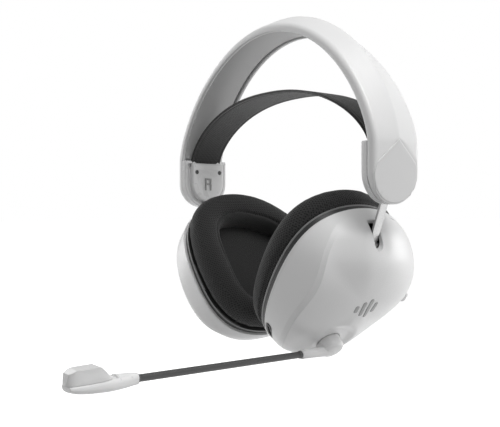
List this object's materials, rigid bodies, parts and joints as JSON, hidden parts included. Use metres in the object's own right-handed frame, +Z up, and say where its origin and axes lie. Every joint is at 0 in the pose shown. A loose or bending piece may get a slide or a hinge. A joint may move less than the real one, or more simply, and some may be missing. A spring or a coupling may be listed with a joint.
{
  "type": "gaming headset",
  "caption": "Over-ear headset with an arched headband, an elastic suspension strap, two tilting ear cups on flat steel arms and a pivoting boom microphone.",
  "frame": {"origin": "underside of the suspension strap at its crown, where it rests on the head", "axes": "+Z up, +X towards the wearer's left ear, -Y towards the wearer's front"},
  "size_m": [0.1888, 0.2129, 0.1931],
  "materials": {
    "white_shell": "satin white moulded plastic",
    "pale_gloss": "smooth pale moulded plastic",
    "grey_liner": "mid grey moulded plastic",
    "dark_plastic": "dark grey moulded plastic",
    "black_screw": "black oxide steel",
    "steel": "brushed stainless steel",
    "brass_bush": "turned brass",
    "magnet_metal": "plated steel and magnet",
    "membrane_film": "thin polymer film",
    "knit_strap": "dark elastic knit",
    "mesh_cushion": "dark breathable mesh fabric over foam",
    "speaker_mesh": "dark speaker cloth",
    "boom_rubber": "dark flexible rubber tube",
    "mic_metal": "metal capsule",
    "circuit_board": "green circuit board",
    "battery_pack": "wrapped lithium cell"
  },
  "bodies": {
    "headband": {"headband_shell": "white_shell", "headband_liner": "grey_liner", "headband_spring": "steel", "suspension_strap": "knit_strap", "end_housing_left": "white_shell", "end_housing_right": "white_shell", "end_cap_left": "pale_gloss", "end_cap_right": "pale_gloss", "end_plug_left": "dark_plastic", "end_plug_right": "dark_plastic", "strap_anchor_left": "white_shell", "strap_anchor_right": "white_shell", "anchor_screws_left": "black_screw", "anchor_screws_right": "black_screw", "side_mark_left": "grey_liner", "side_mark_right": "grey_liner", "swivel_bush_left": "brass_bush", "swivel_bush_right": "brass_bush"},
    "arm_left": {"hanger_arm_left": "steel"},
    "arm_right": {"hanger_arm_right": "steel"},
    "cup_left": {"cup_shell_left": "white_shell", "face_mark_left": "grey_liner", "speaker_baffle_left": "dark_plastic", "cushion_ring_left": "dark_plastic", "ear_cushion_left": "mesh_cushion", "speaker_cloth_left": "speaker_mesh", "driver_frame_left": "dark_plastic", "driver_magnet_left": "magnet_metal", "driver_membrane_left": "membrane_film", "tilt_bracket_left": "steel", "tilt_pin_left": "steel", "cup_screws_left": "black_screw", "main_board": "circuit_board", "charging_port": "dark_plastic", "wheel_axle": "steel"},
    "cup_right": {"cup_shell_right": "white_shell", "face_mark_right": "grey_liner", "speaker_baffle_right": "dark_plastic", "cushion_ring_right": "dark_plastic", "ear_cushion_right": "mesh_cushion", "speaker_cloth_right": "speaker_mesh", "driver_frame_right": "dark_plastic", "driver_magnet_right": "magnet_metal", "driver_membrane_right": "membrane_film", "tilt_bracket_right": "steel", "tilt_pin_right": "steel", "cup_screws_right": "black_screw", "battery": "battery_pack"},
    "power_button": {"power_button": "white_shell"},
    "mute_button": {"mute_button": "white_shell"},
    "volume_wheel": {"volume_wheel": "white_shell"},
    "mic_arm": {"mic_knob": "white_shell", "mic_stalk": "white_shell", "boom_inner": "boom_rubber"},
    "mic_tip": {"boom_outer": "boom_rubber", "mic_capsule_base": "white_shell", "mic_capsule_top": "pale_gloss", "mic_element": "mic_metal"}
  },
  "joints": [
    {"name": "left_swivel", "type": "hinge", "parent": "headband", "child": "arm_left", "pos_m": [0.0746, 0, -0.0862], "axis": [0.3778, 0, 0.9259], "range_deg": [-8, 8]},
    {"name": "right_swivel", "type": "hinge", "parent": "headband", "child": "arm_right", "pos_m": [-0.0746, 0, -0.0862], "axis": [0.3778, 0, -0.9259], "range_deg": [-8, 8]},
    {"name": "left_tilt", "type": "hinge", "parent": "arm_left", "child": "cup_left", "pos_m": [0.0746, 0, -0.0862], "axis": [0, -1, 0], "range_deg": [0, 34]},
    {"name": "right_tilt", "type": "hinge", "parent": "arm_right", "child": "cup_right", "pos_m": [-0.0746, 0, -0.0862], "axis": [0, 1, 0], "range_deg": [0, 34]},
    {"name": "mic_pivot", "type": "hinge", "parent": "cup_left", "child": "mic_arm", "pos_m": [0.04708, -0.0056, -0.13713], "axis": [-0.6691, 0, 0.7431], "range_deg": [-20, 88]},
    {"name": "boom_flex", "type": "hinge", "parent": "mic_arm", "child": "mic_tip", "pos_m": [0.05, -0.0735, -0.1422], "axis": [0, 0, -1], "range_deg": [-10, 30]},
    {"name": "power_press", "type": "slide", "parent": "cup_left", "child": "power_button", "axis": [-0.2872, -0.6814, 0.6732], "range_m": [0, 0.0007], "stiffness_N_per_m": 400},
    {"name": "mute_press", "type": "slide", "parent": "cup_left", "child": "mute_button", "axis": [-0.1758, -0.5373, 0.8249], "range_m": [0, 0.0007], "stiffness_N_per_m": 400},
    {"name": "volume_turn", "type": "hinge", "parent": "cup_left", "child": "volume_wheel", "pos_m": [0.04564, 0.0498, -0.11543], "axis": [0.5592, 0, 0.829], "range_deg": [-140, 140]}
  ]
}
